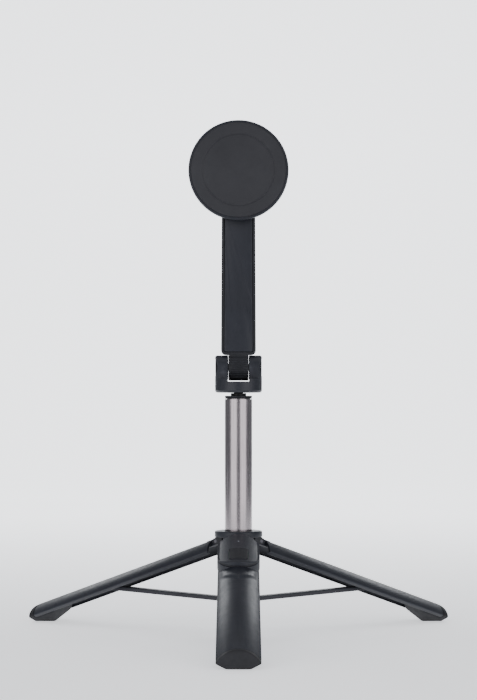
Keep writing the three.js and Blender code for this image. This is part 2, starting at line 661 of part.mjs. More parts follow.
place(stand, "swivel_washer", "trim",
  plateRing(SWIVEL_WASHER_R, SWIVEL_R + PIN_GAP, armHalf + GAP, washerFront, ROUND));
place(stand, "plate_back", "shell", onPlate(turned([
  [SWIVEL_R + PIN_GAP, backFace], [PLATE_R - 1.2, backFace], [PLATE_R, backFace + 1.2],
  [PLATE_R, backFront], [cavityR, backFront], [cavityR, backFace + PLATE_FLOOR],
  [PLATE_HUB_R, backFace + PLATE_FLOOR], [PLATE_HUB_R, backFront],
  [PLATE_HUB_R - PLATE_HUB_WALL, backFront], [PLATE_HUB_R - PLATE_HUB_WALL, hubFloor],
  [SWIVEL_R + PIN_GAP, hubFloor],
  [SWIVEL_R + PIN_GAP, backFace],
], PLATE_ROUND)));
place(stand, "shield_ring", "steel",
  plateRing(cavityR - GAP, MAGNET_INNER_R, shieldBack, shieldBack + SHIELD_THICKNESS));
place(stand, "magnet_ring", "magnet",
  plateRing(cavityR - GAP, MAGNET_INNER_R, magnetBack, magnetBack + MAGNET_THICKNESS));
place(stand, "plate_front", "shell", onPlate(turned([
  [0, frontBack], [PLATE_R, frontBack], [PLATE_R, frontBack + 0.6],
  [PLATE_R - 0.8, frontBack + PLATE_FRONT], [0, frontBack + PLATE_FRONT],
], PLATE_ROUND)));
place(stand, "plate_pad", "rubber", onPlate(turned([
  [0, padBack], [PAD_R, padBack], [PAD_R, padBack + PAD_THICKNESS - 0.3],
  [PAD_R - 0.3, padBack + PAD_THICKNESS], [0, padBack + PAD_THICKNESS],
], PLATE_ROUND)));
const screwBack = SWIVEL_SINK - armHalf;
const nutBack = hubFloor + GAP;
const nutR = PLATE_HUB_R - PLATE_HUB_WALL - GAP;
const nutBore = onPlate(rod(SWIVEL_R + PIN_GAP, nutBack - 1, nutBack + 2 * NUT_HEIGHT, PIN_ROUND));
place(stand, "swivel_nut", "steel",
  onPlate(rod(nutR, nutBack, nutBack + NUT_HEIGHT, 6)).subtract(nutBore));
place(stand, "swivel_screw", "steel", onPlate(turned([
  [0, screwBack], [SWIVEL_HEAD_R, screwBack], [SWIVEL_HEAD_R, screwBack + SWIVEL_HEAD_HEIGHT],
  [SWIVEL_R, screwBack + SWIVEL_HEAD_HEIGHT], [SWIVEL_R, backFront - GAP], [0, backFront - GAP],
], PIN_ROUND)));

// ---- The origin is under the middle of the standing object's box ----
stand.updateMatrixWorld(true);
const extent = new THREE.Box3().setFromObject(stand, true);
const middle = extent.getCenter(new THREE.Vector3());
stand.position.set(-middle.x, -middle.y, -extent.min.z);

export default stand;
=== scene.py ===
import json
import math

import bmesh
import bpy
import numpy as np
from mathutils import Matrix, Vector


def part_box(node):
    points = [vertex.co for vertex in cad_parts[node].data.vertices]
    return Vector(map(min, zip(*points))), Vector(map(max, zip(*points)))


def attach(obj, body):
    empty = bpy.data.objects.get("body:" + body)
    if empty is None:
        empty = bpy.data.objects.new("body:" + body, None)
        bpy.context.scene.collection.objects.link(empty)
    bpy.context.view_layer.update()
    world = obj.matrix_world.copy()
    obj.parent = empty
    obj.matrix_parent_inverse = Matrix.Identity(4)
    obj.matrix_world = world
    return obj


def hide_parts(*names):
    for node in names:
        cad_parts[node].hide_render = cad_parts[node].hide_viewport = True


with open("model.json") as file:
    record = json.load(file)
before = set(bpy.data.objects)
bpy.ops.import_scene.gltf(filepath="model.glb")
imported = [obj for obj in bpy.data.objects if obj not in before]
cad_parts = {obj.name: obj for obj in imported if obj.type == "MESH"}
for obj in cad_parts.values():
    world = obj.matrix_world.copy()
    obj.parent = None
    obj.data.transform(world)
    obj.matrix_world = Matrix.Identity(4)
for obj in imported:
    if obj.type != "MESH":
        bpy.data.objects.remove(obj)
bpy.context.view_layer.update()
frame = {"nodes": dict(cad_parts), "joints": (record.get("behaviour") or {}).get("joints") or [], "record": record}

# ---- Camera: one metre in front of the pole, at about the height of the pole's middle ----
# A long lens, tilted up by two degrees, so that the legs' perspective stays gentle.
MM = 0.001
pole_low, pole_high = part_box("pole_1")
axis_y = (pole_low.y + pole_high.y) / 2
joints = {joint["name"]: joint for joint in frame["joints"]}
CAMERA_DISTANCE = 1.0
CAMERA_HEIGHT = 0.1243
CAMERA_PITCH = 1.995
LENS_MM = 91.54
camera_data = bpy.data.cameras.new("camera")
camera_data.sensor_fit = "VERTICAL"
camera_data.sensor_height = 36
camera_data.lens = LENS_MM
camera = bpy.data.objects.new("camera", camera_data)
camera.location = (0, axis_y - CAMERA_DISTANCE, CAMERA_HEIGHT)
camera.rotation_euler = (math.radians(90 + CAMERA_PITCH), 0, 0)
bpy.context.collection.objects.link(camera)
bpy.context.scene.camera = camera


# ---- Stage: a white sweep of paper, floor and background in one sheet ----
# Flat under the stick and rolled up behind it with a wide bend. It is lit through from the
# back, brighter with distance, so it stays white while little of its light reaches the stick.
def surface(name, grid, around=False, closed=False, capped=False, sharp=40):
    """A mesh over a grid of points.

    around joins the last column to the first, closed joins the last row to the first,
    and capped fills the first and last rows with triangles. Points that meet are merged,
    so poles close.
    """
    rows, columns = grid.shape[:2]
    row = np.arange(rows if closed else rows - 1)[:, None]
    column = np.arange(columns if around else columns - 1)[None, :]
    row_after, column_after = (row + 1) % rows, (column + 1) % columns
    corners = [row * columns + column, row * columns + column_after,
               row_after * columns + column_after, row_after * columns + column]
    faces = np.stack(corners, -1).reshape(-1, 4).tolist()
    if capped:
        faces += [list(range(columns))[::-1], list(range((rows - 1) * columns, rows * columns))]
    mesh = bpy.data.meshes.new(name)
    mesh.from_pydata(grid.reshape(-1, 3).tolist(), [], faces)
    tidy = bmesh.new()
    tidy.from_mesh(mesh)
    ends = [face for face in tidy.faces if len(face.verts) > 4]
    bmesh.ops.triangulate(tidy, faces=ends, ngon_method="EAR_CLIP")
    bmesh.ops.remove_doubles(tidy, verts=tidy.verts, dist=2e-6)
    loose = [edge for edge in tidy.edges if not edge.link_faces]
    bmesh.ops.delete(tidy, geom=loose, context="EDGES")
    bmesh.ops.recalc_face_normals(tidy, faces=tidy.faces)
    tidy.to_mesh(mesh)
    tidy.free()
    mesh.shade_smooth()
    mesh.set_sharp_from_angle(angle=math.radians(sharp))
    piece = bpy.data.objects.new(name, mesh)
    bpy.context.collection.objects.link(piece)
    return piece


def new_material(name):
    """An empty material with its Principled shader, and that shader's node."""
    material = bpy.data.materials.new(name)
    material.use_nodes = True
    return material, material.node_tree.nodes["Principled BSDF"]


SWEEP_HALF = 0.6
SWEEP_FRONT = -0.3
SWEEP_BEND = 0.6
SWEEP_BACK = 1.6
SWEEP_TOP = 1.0
bend = np.linspace(0, math.pi / 2, 16)
sweep_y = np.concatenate([[SWEEP_FRONT], SWEEP_BACK + SWEEP_BEND * np.sin(bend),
                          [SWEEP_BACK + SWEEP_BEND]])
sweep_z = np.concatenate([[0], SWEEP_BEND * (1 - np.cos(bend)), [SWEEP_TOP]])
sweep_x = np.array([-SWEEP_HALF, SWEEP_HALF])
sweep = np.stack(np.broadcast_arrays(sweep_x[None, :], sweep_y[:, None], sweep_z[:, None]), -1)
backdrop = surface("backdrop", sweep)
paper, paper_shader = new_material("white_paper")
paper_shader.inputs["Base Color"].default_value = (0.86, 0.87, 0.88, 1)
paper_shader.inputs["Roughness"].default_value = 0.9
paper_shader.inputs["Emission Color"].default_value = (0.95, 0.97, 1.0, 1)
paper_place = paper.node_tree.nodes.new("ShaderNodeTexCoord")
paper_axes = paper.node_tree.nodes.new("ShaderNodeSeparateXYZ")
paper_glow = paper.node_tree.nodes.new("ShaderNodeMapRange")
for label, number in zip(("From Min", "From Max", "To Min", "To Max"), (0.0, 1.2, 0.7, 2.2)):
    paper_glow.inputs[label].default_value = number
paper.node_tree.links.new(paper_place.outputs["Object"], paper_axes.inputs["Vector"])
paper.node_tree.links.new(paper_axes.outputs["Y"], paper_glow.inputs["Value"])
paper.node_tree.links.new(paper_glow.outputs["Result"], paper_shader.inputs["Emission Strength"])
backdrop.data.materials.append(paper)

# ---- Light: two wide soft boxes either side of the camera, one overhead, two behind ----
# The front two nearly meet, so round parts are bright in the middle and darker at their edges.
# The rear two put a soft band along each side of the front leg's round back.
LIGHTS = {
    "left_box": ((-0.75, -0.85, 0.3), (1.15, 1.1), 8.5, (1.0, 0.97, 1.0)),
    "right_box": ((0.75, -0.85, 0.3), (1.15, 1.1), 8.5, (1.0, 0.97, 1.0)),
    "overhead_box": ((0.0, -0.05, 1.3), (1.0, 1.0), 3, (1.0, 1.0, 1.0)),
    "rear_left_box": ((-0.55, 0.95, 0.62), (0.35, 0.5), 2.2, (0.95, 0.97, 1.0)),
    "rear_right_box": ((0.55, 0.95, 0.62), (0.35, 0.5), 2.2, (0.95, 0.97, 1.0)),
}
AIM_HEIGHT = 0.12
for name, (place, (wide, tall), power, colour) in LIGHTS.items():
    light = bpy.data.lights.new(name, "AREA")
    light.shape = "RECTANGLE"
    light.size = wide
    light.size_y = tall
    light.energy = power
    light.color = colour
    lamp = bpy.data.objects.new(name, light)
    lamp.location = place
    reach = math.hypot(place[0], place[1])
    lamp.rotation_euler = (math.atan2(reach, place[2] - AIM_HEIGHT), 0,
                           math.atan2(place[1], place[0]) + math.pi / 2)
    bpy.context.collection.objects.link(lamp)
world = bpy.data.worlds.new("studio")
bpy.context.scene.world = world
world.use_nodes = True
world.node_tree.nodes["Background"].inputs["Color"].default_value = (0.9, 0.93, 1.0, 1)
world.node_tree.nodes["Background"].inputs["Strength"].default_value = 0.3


# ---- Hub cap: the satin black moulded ring round the pole's foot ----
# Injection-moulded ABS with a fine spark-eroded grain, pressed onto the hub's core.
def shader_group(name, inputs, outputs):
    """A shader node group with these named inputs, as (name, type, value), and outputs."""
    group = bpy.data.node_groups.new(name, "ShaderNodeTree")
    for label, kind, value in inputs:
        socket = group.interface.new_socket(label, in_out="INPUT", socket_type=kind)
        if value is not None:
            socket.default_value = value
    for label, kind in outputs:
        group.interface.new_socket(label, in_out="OUTPUT", socket_type=kind)
    return group, group.nodes.new("NodeGroupInput"), group.nodes.new("NodeGroupOutput")


def add_node(tree, kind, **values):
    """A node of that kind, with named properties and inputs set."""
    node = tree.nodes.new(kind)
    for label, value in values.items():
        if hasattr(node, label):
            setattr(node, label, value)
        else:
            node.inputs[label.replace("_", " ")].default_value = value
    return node


def noise_of(tree, vector, scale, detail=3.0, roughness=0.55):
    """The value of a noise texture at that scale."""
    node = add_node(tree, "ShaderNodeTexNoise", Scale=scale, Detail=detail, Roughness=roughness)
    tree.links.new(vector, node.inputs["Vector"])
    return node.outputs["Fac"]


def ranged(tree, value, low, high, to_low, to_high):
    """A value's stretch from low to high carried to another stretch, and held at its ends."""
    node = tree.nodes.new("ShaderNodeMapRange")
    tree.links.new(value, node.inputs["Value"])
    for label, number in zip(("From Min", "From Max", "To Min", "To Max"), (low, high, to_low, to_high)):
        if isinstance(number, (int, float)):
            node.inputs[label].default_value = number
        else:
            tree.links.new(number, node.inputs[label])
    return node.outputs["Result"]


# Moulded surface: fine grain for the bump, slow drifts of tone and gloss, and worn edges.
moulded_group, moulded_in, moulded_out = shader_group(
    "moulded_surface",
    [("Vector", "NodeSocketVector", None), ("Grain Scale", "NodeSocketFloat", 2600.0),
     ("Color", "NodeSocketColor", None), ("Worn Color", "NodeSocketColor", None),
     ("Roughness Low", "NodeSocketFloat", 0.36), ("Roughness High", "NodeSocketFloat", 0.5),
     ("Wear", "NodeSocketFloat", 0.35)],
    [("Color", "NodeSocketColor"), ("Roughness", "NodeSocketFloat"), ("Height", "NodeSocketFloat")])
grain_noise = add_node(moulded_group, "ShaderNodeTexNoise", Detail=2.0, Roughness=0.6)
moulded_group.links.new(moulded_in.outputs["Vector"], grain_noise.inputs["Vector"])
moulded_group.links.new(moulded_in.outputs["Grain Scale"], grain_noise.inputs["Scale"])
drift = noise_of(moulded_group, moulded_in.outputs["Vector"], 45.0)
handling = noise_of(moulded_group, moulded_in.outputs["Vector"], 190.0, 4.0, 0.7)
edges = ranged(moulded_group, moulded_group.nodes.new("ShaderNodeNewGeometry").outputs["Pointiness"],
               0.52, 0.62, 0.0, 1.0)
worn = add_node(moulded_group, "ShaderNodeMath", operation="MULTIPLY")
moulded_group.links.new(edges, worn.inputs[0])
moulded_group.links.new(ranged(moulded_group, handling, 0.4, 0.65, 0.0, moulded_in.outputs["Wear"]),
                        worn.inputs[1])
toned = add_node(moulded_group, "ShaderNodeMix", data_type="RGBA", blend_type="MIX")
moulded_group.links.new(worn.outputs[0], toned.inputs["Factor"])
moulded_group.links.new(moulded_in.outputs["Color"], toned.inputs[6])
moulded_group.links.new(moulded_in.outputs["Worn Color"], toned.inputs[7])
shaded = add_node(moulded_group, "ShaderNodeHueSaturation")
moulded_group.links.new(toned.outputs[2], shaded.inputs["Color"])
moulded_group.links.new(ranged(moulded_group, drift, 0.3, 0.7, 0.9, 1.12), shaded.inputs["Value"])
moulded_group.links.new(shaded.outputs["Color"], moulded_out.inputs["Color"])
moulded_group.links.new(
    ranged(moulded_group, handling, 0.3, 0.7, moulded_in.outputs["Roughness Low"],
           moulded_in.outputs["Roughness High"]), moulded_out.inputs["Roughness"])
moulded_group.links.new(grain_noise.outputs["Fac"], moulded_out.inputs["Height"])
colours = {entry["slot"]: (*entry["base_color"], 1) for entry in frame["record"]["materials"]}


def moulded(slot, gloss, grain, bump, wear=0.35, worn=(0.07, 0.075, 0.09, 1), specular=0.3):
    """A moulded finish: the slot's colour through the moulded surface group.

    gloss is the roughness range, grain the grain's scale and bump its height in metres.
    """
    material, shader = new_material(slot)
    tree = material.node_tree
    where = tree.nodes.new("ShaderNodeTexCoord")
    skin = tree.nodes.new("ShaderNodeGroup")
    skin.node_tree = moulded_group
    tree.links.new(where.outputs["Object"], skin.inputs["Vector"])
    settings = {"Grain Scale": grain, "Color": colours[slot], "Worn Color": worn,
                "Roughness Low": gloss[0], "Roughness High": gloss[1], "Wear": wear}
    for label, value in settings.items():
        skin.inputs[label].default_value = value
    bumped = add_node(tree, "ShaderNodeBump", Strength=0.6, Distance=bump)
    tree.links.new(skin.outputs["Height"], bumped.inputs["Height"])
    tree.links.new(skin.outputs["Color"], shader.inputs["Base Color"])
    tree.links.new(skin.outputs["Roughness"], shader.inputs["Roughness"])
    tree.links.new(bumped.outputs["Normal"], shader.inputs["Normal"])
    shader.inputs["Specular IOR Level"].default_value = specular
    return material


def rounded(corners, radius, steps=5):
    """A closed outline with every corner rounded.

    Each corner is cut back by its radius, at most 0.45 of the shorter side, and the two cuts
    are joined by a quadratic curve that heads for the corner.
    """
    here = np.array(corners, float)
    size = np.broadcast_to(np.asarray(radius, float), len(here))[:, None]
    cuts = []
    for turn in (1, -1):
        leg = np.roll(here, turn, 0) - here
        length = np.linalg.norm(leg, axis=1, keepdims=True)
        cuts.append(leg / length * np.minimum(size, length * 0.45))
    s = np.linspace(0, 1, steps)[None, :, None]
    start, end = (here + cuts[0])[:, None], (here + cuts[1])[:, None]
    return ((1 - s) ** 2 * start + 2 * s * (1 - s) * here[:, None] + s ** 2 * end).reshape(-1, 2)


def turned(name, corners, radius, centre, axis="z", sides=112):
    """A turned piece: the rounded outline of (radius, height) corners carried round an axis.

    A point at radius r and height h goes to r cos(a), r sin(a), h, for a once round, with the
    axis along z, along x, or along -y.
    """
    r, h = rounded(corners, radius).T
    angle = np.linspace(0, 2 * math.pi, sides, endpoint=False)
    across, up = r[:, None] * np.cos(angle), r[:, None] * np.sin(angle)
    along = np.broadcast_to(h[:, None], across.shape)
    order = {"z": (across, up, along), "x": (along, across, up), "-y": (across, -along, up)}[axis]
    return surface(name, np.stack(order, -1) + np.array(centre), around=True, closed=True)


def fit(piece, body, slot, finish, *nodes):
    """Gives a piece its finish and its body, and hides the CAD nodes that it stands for."""
    piece.data.materials.clear()
    piece.data.materials.append(finish)
    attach(piece, body)
    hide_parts(*nodes)


shell_plastic = moulded("shell_plastic", (0.34, 0.46), 2400.0, 0.00004)
trim_plastic = moulded("trim_plastic", (0.4, 0.55), 2800.0, 0.00004)
pole_foot = (0, axis_y, 0)
cap_low, cap_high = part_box("hub_cap")
cap_r = (cap_high.x - cap_low.x) / 2
bore_r = (pole_high.x - pole_low.x) / 2 + 0.15 * MM
hub_cap = turned("hub_cap_ring", [
    (bore_r, cap_low.z), (cap_r, cap_low.z), (cap_r, cap_high.z), (bore_r, cap_high.z)],
    [0.2 * MM, 0.4 * MM, 1.1 * MM, 0.3 * MM], pole_foot)
fit(hub_cap, "base", "shell_plastic", shell_plastic, "hub_cap")

# ---- Pole: four nested tubes, each sliding out of the one below ----
# Drawn aluminium, brushed lengthwise and anodised gunmetal; the second and third have a rolled lip.
brushed_group, brushed_in, brushed_out = shader_group(
    "brushed_lines",
    [("Vector", "NodeSocketVector", None), ("Line Scale", "NodeSocketVector", (6000.0, 6000.0, 60.0)),
     ("Color", "NodeSocketColor", None), ("Contrast", "NodeSocketFloat", 0.18),
     ("Roughness Low", "NodeSocketFloat", 0.2), ("Roughness High", "NodeSocketFloat", 0.36)],
    [("Color", "NodeSocketColor"), ("Roughness", "NodeSocketFloat"), ("Height", "NodeSocketFloat")])
stretched = add_node(brushed_group, "ShaderNodeVectorMath", operation="MULTIPLY")
brushed_group.links.new(brushed_in.outputs["Vector"], stretched.inputs[0])
brushed_group.links.new(brushed_in.outputs["Line Scale"], stretched.inputs[1])
lines = noise_of(brushed_group, stretched.outputs[0], 1.0, 4.0, 0.6)
tarnish = noise_of(brushed_group, brushed_in.outputs["Vector"], 60.0)
one_less = add_node(brushed_group, "ShaderNodeMath", operation="SUBTRACT")
one_less.inputs[0].default_value = 1.0
brushed_group.links.new(brushed_in.outputs["Contrast"], one_less.inputs[1])
one_more = add_node(brushed_group, "ShaderNodeMath", operation="ADD")
one_more.inputs[0].default_value = 1.0
brushed_group.links.new(brushed_in.outputs["Contrast"], one_more.inputs[1])
struck = add_node(brushed_group, "ShaderNodeHueSaturation")
brushed_group.links.new(brushed_in.outputs["Color"], struck.inputs["Color"])
brushed_group.links.new(ranged(brushed_group, lines, 0.3, 0.7, one_less.outputs[0], one_more.outputs[0]),
                        struck.inputs["Value"])
blotched = add_node(brushed_group, "ShaderNodeHueSaturation")
brushed_group.links.new(struck.outputs["Color"], blotched.inputs["Color"])
brushed_group.links.new(ranged(brushed_group, tarnish, 0.3, 0.7, 0.94, 1.05), blotched.inputs["Value"])
brushed_group.links.new(blotched.outputs["Color"], brushed_out.inputs["Color"])
brushed_group.links.new(
    ranged(brushed_group, lines, 0.3, 0.7, brushed_in.outputs["Roughness Low"],
           brushed_in.outputs["Roughness High"]), brushed_out.inputs["Roughness"])
brushed_group.links.new(lines, brushed_out.inputs["Height"])


def brushed(slot, line_scale, gloss, contrast=0.18, bump=0.00001):
    """A metal finish: the slot's colour through the brushed lines group, fully metallic."""
    material, shader = new_material(slot)
    tree = material.node_tree
    where = tree.nodes.new("ShaderNodeTexCoord")
    skin = tree.nodes.new("ShaderNodeGroup")
    skin.node_tree = brushed_group
    tree.links.new(where.outputs["Object"], skin.inputs["Vector"])
    settings = {"Line Scale": line_scale, "Color": colours[slot], "Contrast": contrast,
                "Roughness Low": gloss[0], "Roughness High": gloss[1]}
    for label, value in settings.items():
        skin.inputs[label].default_value = value
    bumped = add_node(tree, "ShaderNodeBump", Strength=0.4, Distance=bump)
    tree.links.new(skin.outputs["Height"], bumped.inputs["Height"])
    tree.links.new(skin.outputs["Color"], shader.inputs["Base Color"])
    tree.links.new(skin.outputs["Roughness"], shader.inputs["Roughness"])
    tree.links.new(bumped.outputs["Normal"], shader.inputs["Normal"])
    shader.inputs["Metallic"].default_value = 1.0
    return material


pole_metal = brushed("pole_metal", (5200.0, 5200.0, 40.0), (0.16, 0.3))
POLE_WALL = 0.6 * MM
POLE_LIP = 0.35 * MM
LIP_HEIGHT = 1.6 * MM
for number in (1, 2, 3, 4):
    low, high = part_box(f"pole_{number}")
    outer = (high.x - low.x) / 2
    inner = outer - POLE_WALL
    lip = POLE_LIP if number in (2, 3) else 0
    tube = turned(f"pole_tube_{number}", [
        (inner, low.z), (outer, low.z), (outer, high.z), (inner - lip, high.z),
        (inner - lip, high.z - LIP_HEIGHT), (inner, high.z - LIP_HEIGHT - 0.3 * MM)],
        0.18 * MM, pole_foot, sides=144)
    fit(tube, "base" if number == 1 else f"pole_{number}", "pole_metal", pole_metal, f"pole_{number}")

# ---- Pole collar and neck plug ----
# The collar is a black moulded ring snapped into the outer tube; the bushes guide the inner
# tubes; the neck plug closes the innermost one and carries the yoke.
low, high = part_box("pole_collar")
collar_r = (high.x - low.x) / 2
slide_r = (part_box("pole_2")[1].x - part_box("pole_2")[0].x) / 2 + 0.15 * MM
GROOVE = 0.25 * MM
waist = low.z + 0.45 * MM
collar = turned("pole_collar_ring", [
    (slide_r, low.z), (collar_r, low.z), (collar_r, waist), (collar_r - GROOVE, waist + GROOVE),
    (collar_r, waist + 2 * GROOVE), (collar_r, high.z), (slide_r, high.z)],
    [0.1 * MM, 0.2 * MM, 0.05 * MM, 0.05 * MM, 0.05 * MM, 0.5 * MM, 0.3 * MM], pole_foot)
fit(collar, "base", "trim_plastic", trim_plastic, "pole_collar")
low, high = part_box("neck_plug")
plug_r = (high.x - low.x) / 2
top_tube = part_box("pole_4")[1].z
NECK_R = 2.6 * MM
neck_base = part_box("yoke")[0].z - 0.3 * MM
SHOULDER = 0.25 * MM
stalk_r = plug_r - POLE_WALL - 0.1 * MM
neck = turned("neck_plug_pin", [
    (0, low.z), (stalk_r, low.z), (stalk_r, top_tube + 0.1 * MM), (plug_r, top_tube + 0.2 * MM),
    (plug_r, neck_base), (NECK_R, neck_base), (NECK_R, high.z), (0, high.z)],
    [0, 0.3 * MM, 0, 0.1 * MM, SHOULDER, 0.1 * MM, 0.3 * MM, 0], pole_foot)
fit(neck, "pole_4", "trim_plastic", trim_plastic, "neck_plug")

# ---- Legs: three moulded shells that close round the pole into one round handle ----
# Glass-filled nylon with a satin face; each turns on a steel pin through the knuckle at its top.
LEG_WALL = 1.6 * MM
LEG_HALF_ANGLE = math.radians(59)
LIP_ANGLE = math.radians(3)
LIP_R = 10.5 * MM
LEG_EDGE = 0.35 * MM
LIP_TRIM = 0.15 * MM
# A lip is only 0.7 mm thick, so its two faces are drawn in by no more than the trim.
SHELL_START = 4 * MM
AZIMUTHS = {"front": -90, "right": 30, "left": 150}
fold = math.radians(joints["leg_front_fold"]["range_deg"][1])
hinge_r = axis_y - joints["leg_front_fold"]["pos_m"][1]
hinge_z = joints["leg_front_fold"]["pos_m"][2]
handle_r = cap_r - 0.05 * MM
LEG_LENGTH = 137 * MM
FOOT_LENGTH = 5.95 * MM
SHELL_END = FOOT_LENGTH - LEG_LENGTH
SECTION_POINTS = 260


def on_leg(points, side):
    """Carries points of a closed leg, x outwards, y across and z up from its hinge, to the open leg.

    They are turned outwards about the hinge by the fold, then round the pole to the leg's side.
    """
    x, y, z = np.moveaxis(points, -1, 0)
    reach = hinge_r + (x - hinge_r) * math.cos(fold) - z * math.sin(fold)
    height = hinge_z + (x - hinge_r) * math.sin(fold) + z * math.cos(fold)
    turn = math.radians(AZIMUTHS[side])
    return np.stack([reach * math.cos(turn) - y * math.sin(turn),
                     axis_y + reach * math.sin(turn) + y * math.cos(turn), height], -1)


def even(outline, count):
    """A closed outline walked at count equal steps."""
    ring = np.vstack([outline, outline[:1]])
    walked = np.concatenate([[0], np.cumsum(np.linalg.norm(np.diff(ring, axis=0), axis=1))])
    at = np.linspace(0, walked[-1], count, endpoint=False)
    return np.stack([np.interp(at, walked, ring[:, k]) for k in (0, 1)], -1)


def leg_section(inset):
    """A leg's section as x, y points: a 118 degree arc of wall with a lip along each side.

    It is drawn unrolled, as radius against arc length, rounded, and then bent round the axis.
    """
    out, wall, lip = handle_r - inset, handle_r - LEG_WALL + inset, LIP_R + inset
    trim = min(inset, LIP_TRIM) / handle_r
    edge = LEG_HALF_ANGLE - trim
    inside = LEG_HALF_ANGLE - LIP_ANGLE + trim
    corners = [(out, -edge), (out, edge), (lip, edge), (lip, inside), (wall, inside),
               (wall, -inside), (lip, -inside), (lip, -edge)]
    unrolled = np.array(corners) * (1, handle_r)
    sizes = np.array([0.6, 0.6, 0.3, 0.2, 0.4, 0.4, 0.2, 0.3]) * MM
    radius, along = even(rounded(unrolled, sizes), SECTION_POINTS).T
    return np.stack([radius * np.cos(along / handle_r), radius * np.sin(along / handle_r)], -1)


def swept(name, side, section, stations):
    """A leg's section carried along its length: stations are (place, inset) pairs."""
    rings = [np.column_stack([section(inset), np.full(len(section(inset)), place)])
             for place, inset in stations]
    return surface(name, on_leg(np.array(rings), side), around=True, capped=True)


KNUCKLE_R = 1.8 * MM
KNUCKLE_HALF = 3.5 * MM
KNUCKLE_EDGE = 0.3 * MM


def slab(name, outline, low, high, edge, carry):
    """A flat outline given thickness, its two rims rounded by drawing the outline in by the edge.

    Each point is drawn in along the outline's own normal. carry takes (u, v, height) points to
    their place.
    """
    tangent = np.roll(outline, -1, 0) - np.roll(outline, 1, 0)
    normal = np.stack([-tangent[:, 1], tangent[:, 0]], -1)
    normal /= np.linalg.norm(normal, axis=1, keepdims=True) + 1e-12
    after = np.roll(outline, -1, 0)
    area = np.sum(outline[:, 0] * after[:, 1] - after[:, 0] * outline[:, 1])
    normal *= np.sign(area)
    bend = np.linspace(0, math.pi / 2, 5)
    insets = edge * np.concatenate([1 - np.sin(bend), (1 - np.sin(bend))[::-1]])
    heights = np.concatenate([low + edge * (1 - np.cos(bend)), high - edge * (1 - np.cos(bend[::-1]))])
    flat = outline[None] + normal[None] * insets[:, None, None]
    rings = np.concatenate([flat, np.broadcast_to(heights[:, None, None], (*flat.shape[:2], 1))], -1)
    return surface(name, carry(rings), around=True, capped=True)


def arc(centre, radius, start, stop, count=24):
    """Points on a circle from one angle to another, in degrees."""
    angle = np.radians(np.linspace(start, stop, count))
    return np.stack([centre[0] + radius * np.cos(angle), centre[1] + radius * np.sin(angle)], -1)


leg_stations = [(-SHELL_START, LEG_EDGE), (-SHELL_START - 0.1 * MM, 0.12 * MM),
                (-SHELL_START - LEG_EDGE, 0), (SHELL_END / 2, 0), (SHELL_END + LEG_EDGE, 0),
                (SHELL_END + 0.1 * MM, 0.1 * MM), (SHELL_END, 0.25 * MM)]
knuckle_side = np.concatenate([
    arc((hinge_r, 0), KNUCKLE_R, 0, 180),
    [(hinge_r - KNUCKLE_R, -SHELL_START - 3 * MM), (hinge_r + KNUCKLE_R, -SHELL_START - 3 * MM)]])
for side in ("right", "left"):
    shell = swept(f"leg_{side}_shell", side, leg_section, leg_stations)
    fit(shell, f"leg_{side}", "shell_plastic", shell_plastic, f"leg_shell_{side}")
for side in AZIMUTHS:
    knuckle = slab(f"leg_{side}_knuckle", knuckle_side, -KNUCKLE_HALF, KNUCKLE_HALF, KNUCKLE_EDGE,
                   lambda rings: on_leg(rings[..., [0, 2, 1]], side))
    fit(knuckle, f"leg_{side}", "shell_plastic", shell_plastic, f"leg_shell_{side}")

# ---- Feet: soft rubber plugs pressed into the ends of the legs ----
# Each has a flat sole for the floor, a sloping heel and a rounded nose that carries on the
# leg's round back.
foot_rubber = moulded("foot_rubber", (0.55, 0.75), 1500.0, 0.00008, wear=0.6,
                      worn=(0.05, 0.05, 0.055, 1), specular=0.35)
FOOT_PLUG = 19 * MM
SOLE_LENGTH = 9.5 * MM
SOLE_END = 135.5 * MM
TOE_REACH = 1.7 * MM
TOE_HEIGHT = 4 * MM
FOOT_HALF_ANGLE = math.radians(60)
FOOT_GAP = 0.3 * MM


def in_leg(reach, height):
    """A point of the open leg's side view, as x and z of the closed leg."""
    out, up = reach - hinge_r, height - hinge_z
    return (hinge_r + out * math.cos(fold) + up * math.sin(fold),
            up * math.cos(fold) - out * math.sin(fold))


toe = in_leg(SOLE_END + TOE_REACH, TOE_HEIGHT)
sole_front, sole_back = in_leg(SOLE_END, 0), in_leg(SOLE_END - SOLE_LENGTH, 0)
heel = in_leg(SOLE_END - SOLE_LENGTH - 5.5 * MM, 6.5 * MM)
tail = (9 * MM, SHELL_END + FOOT_PLUG)


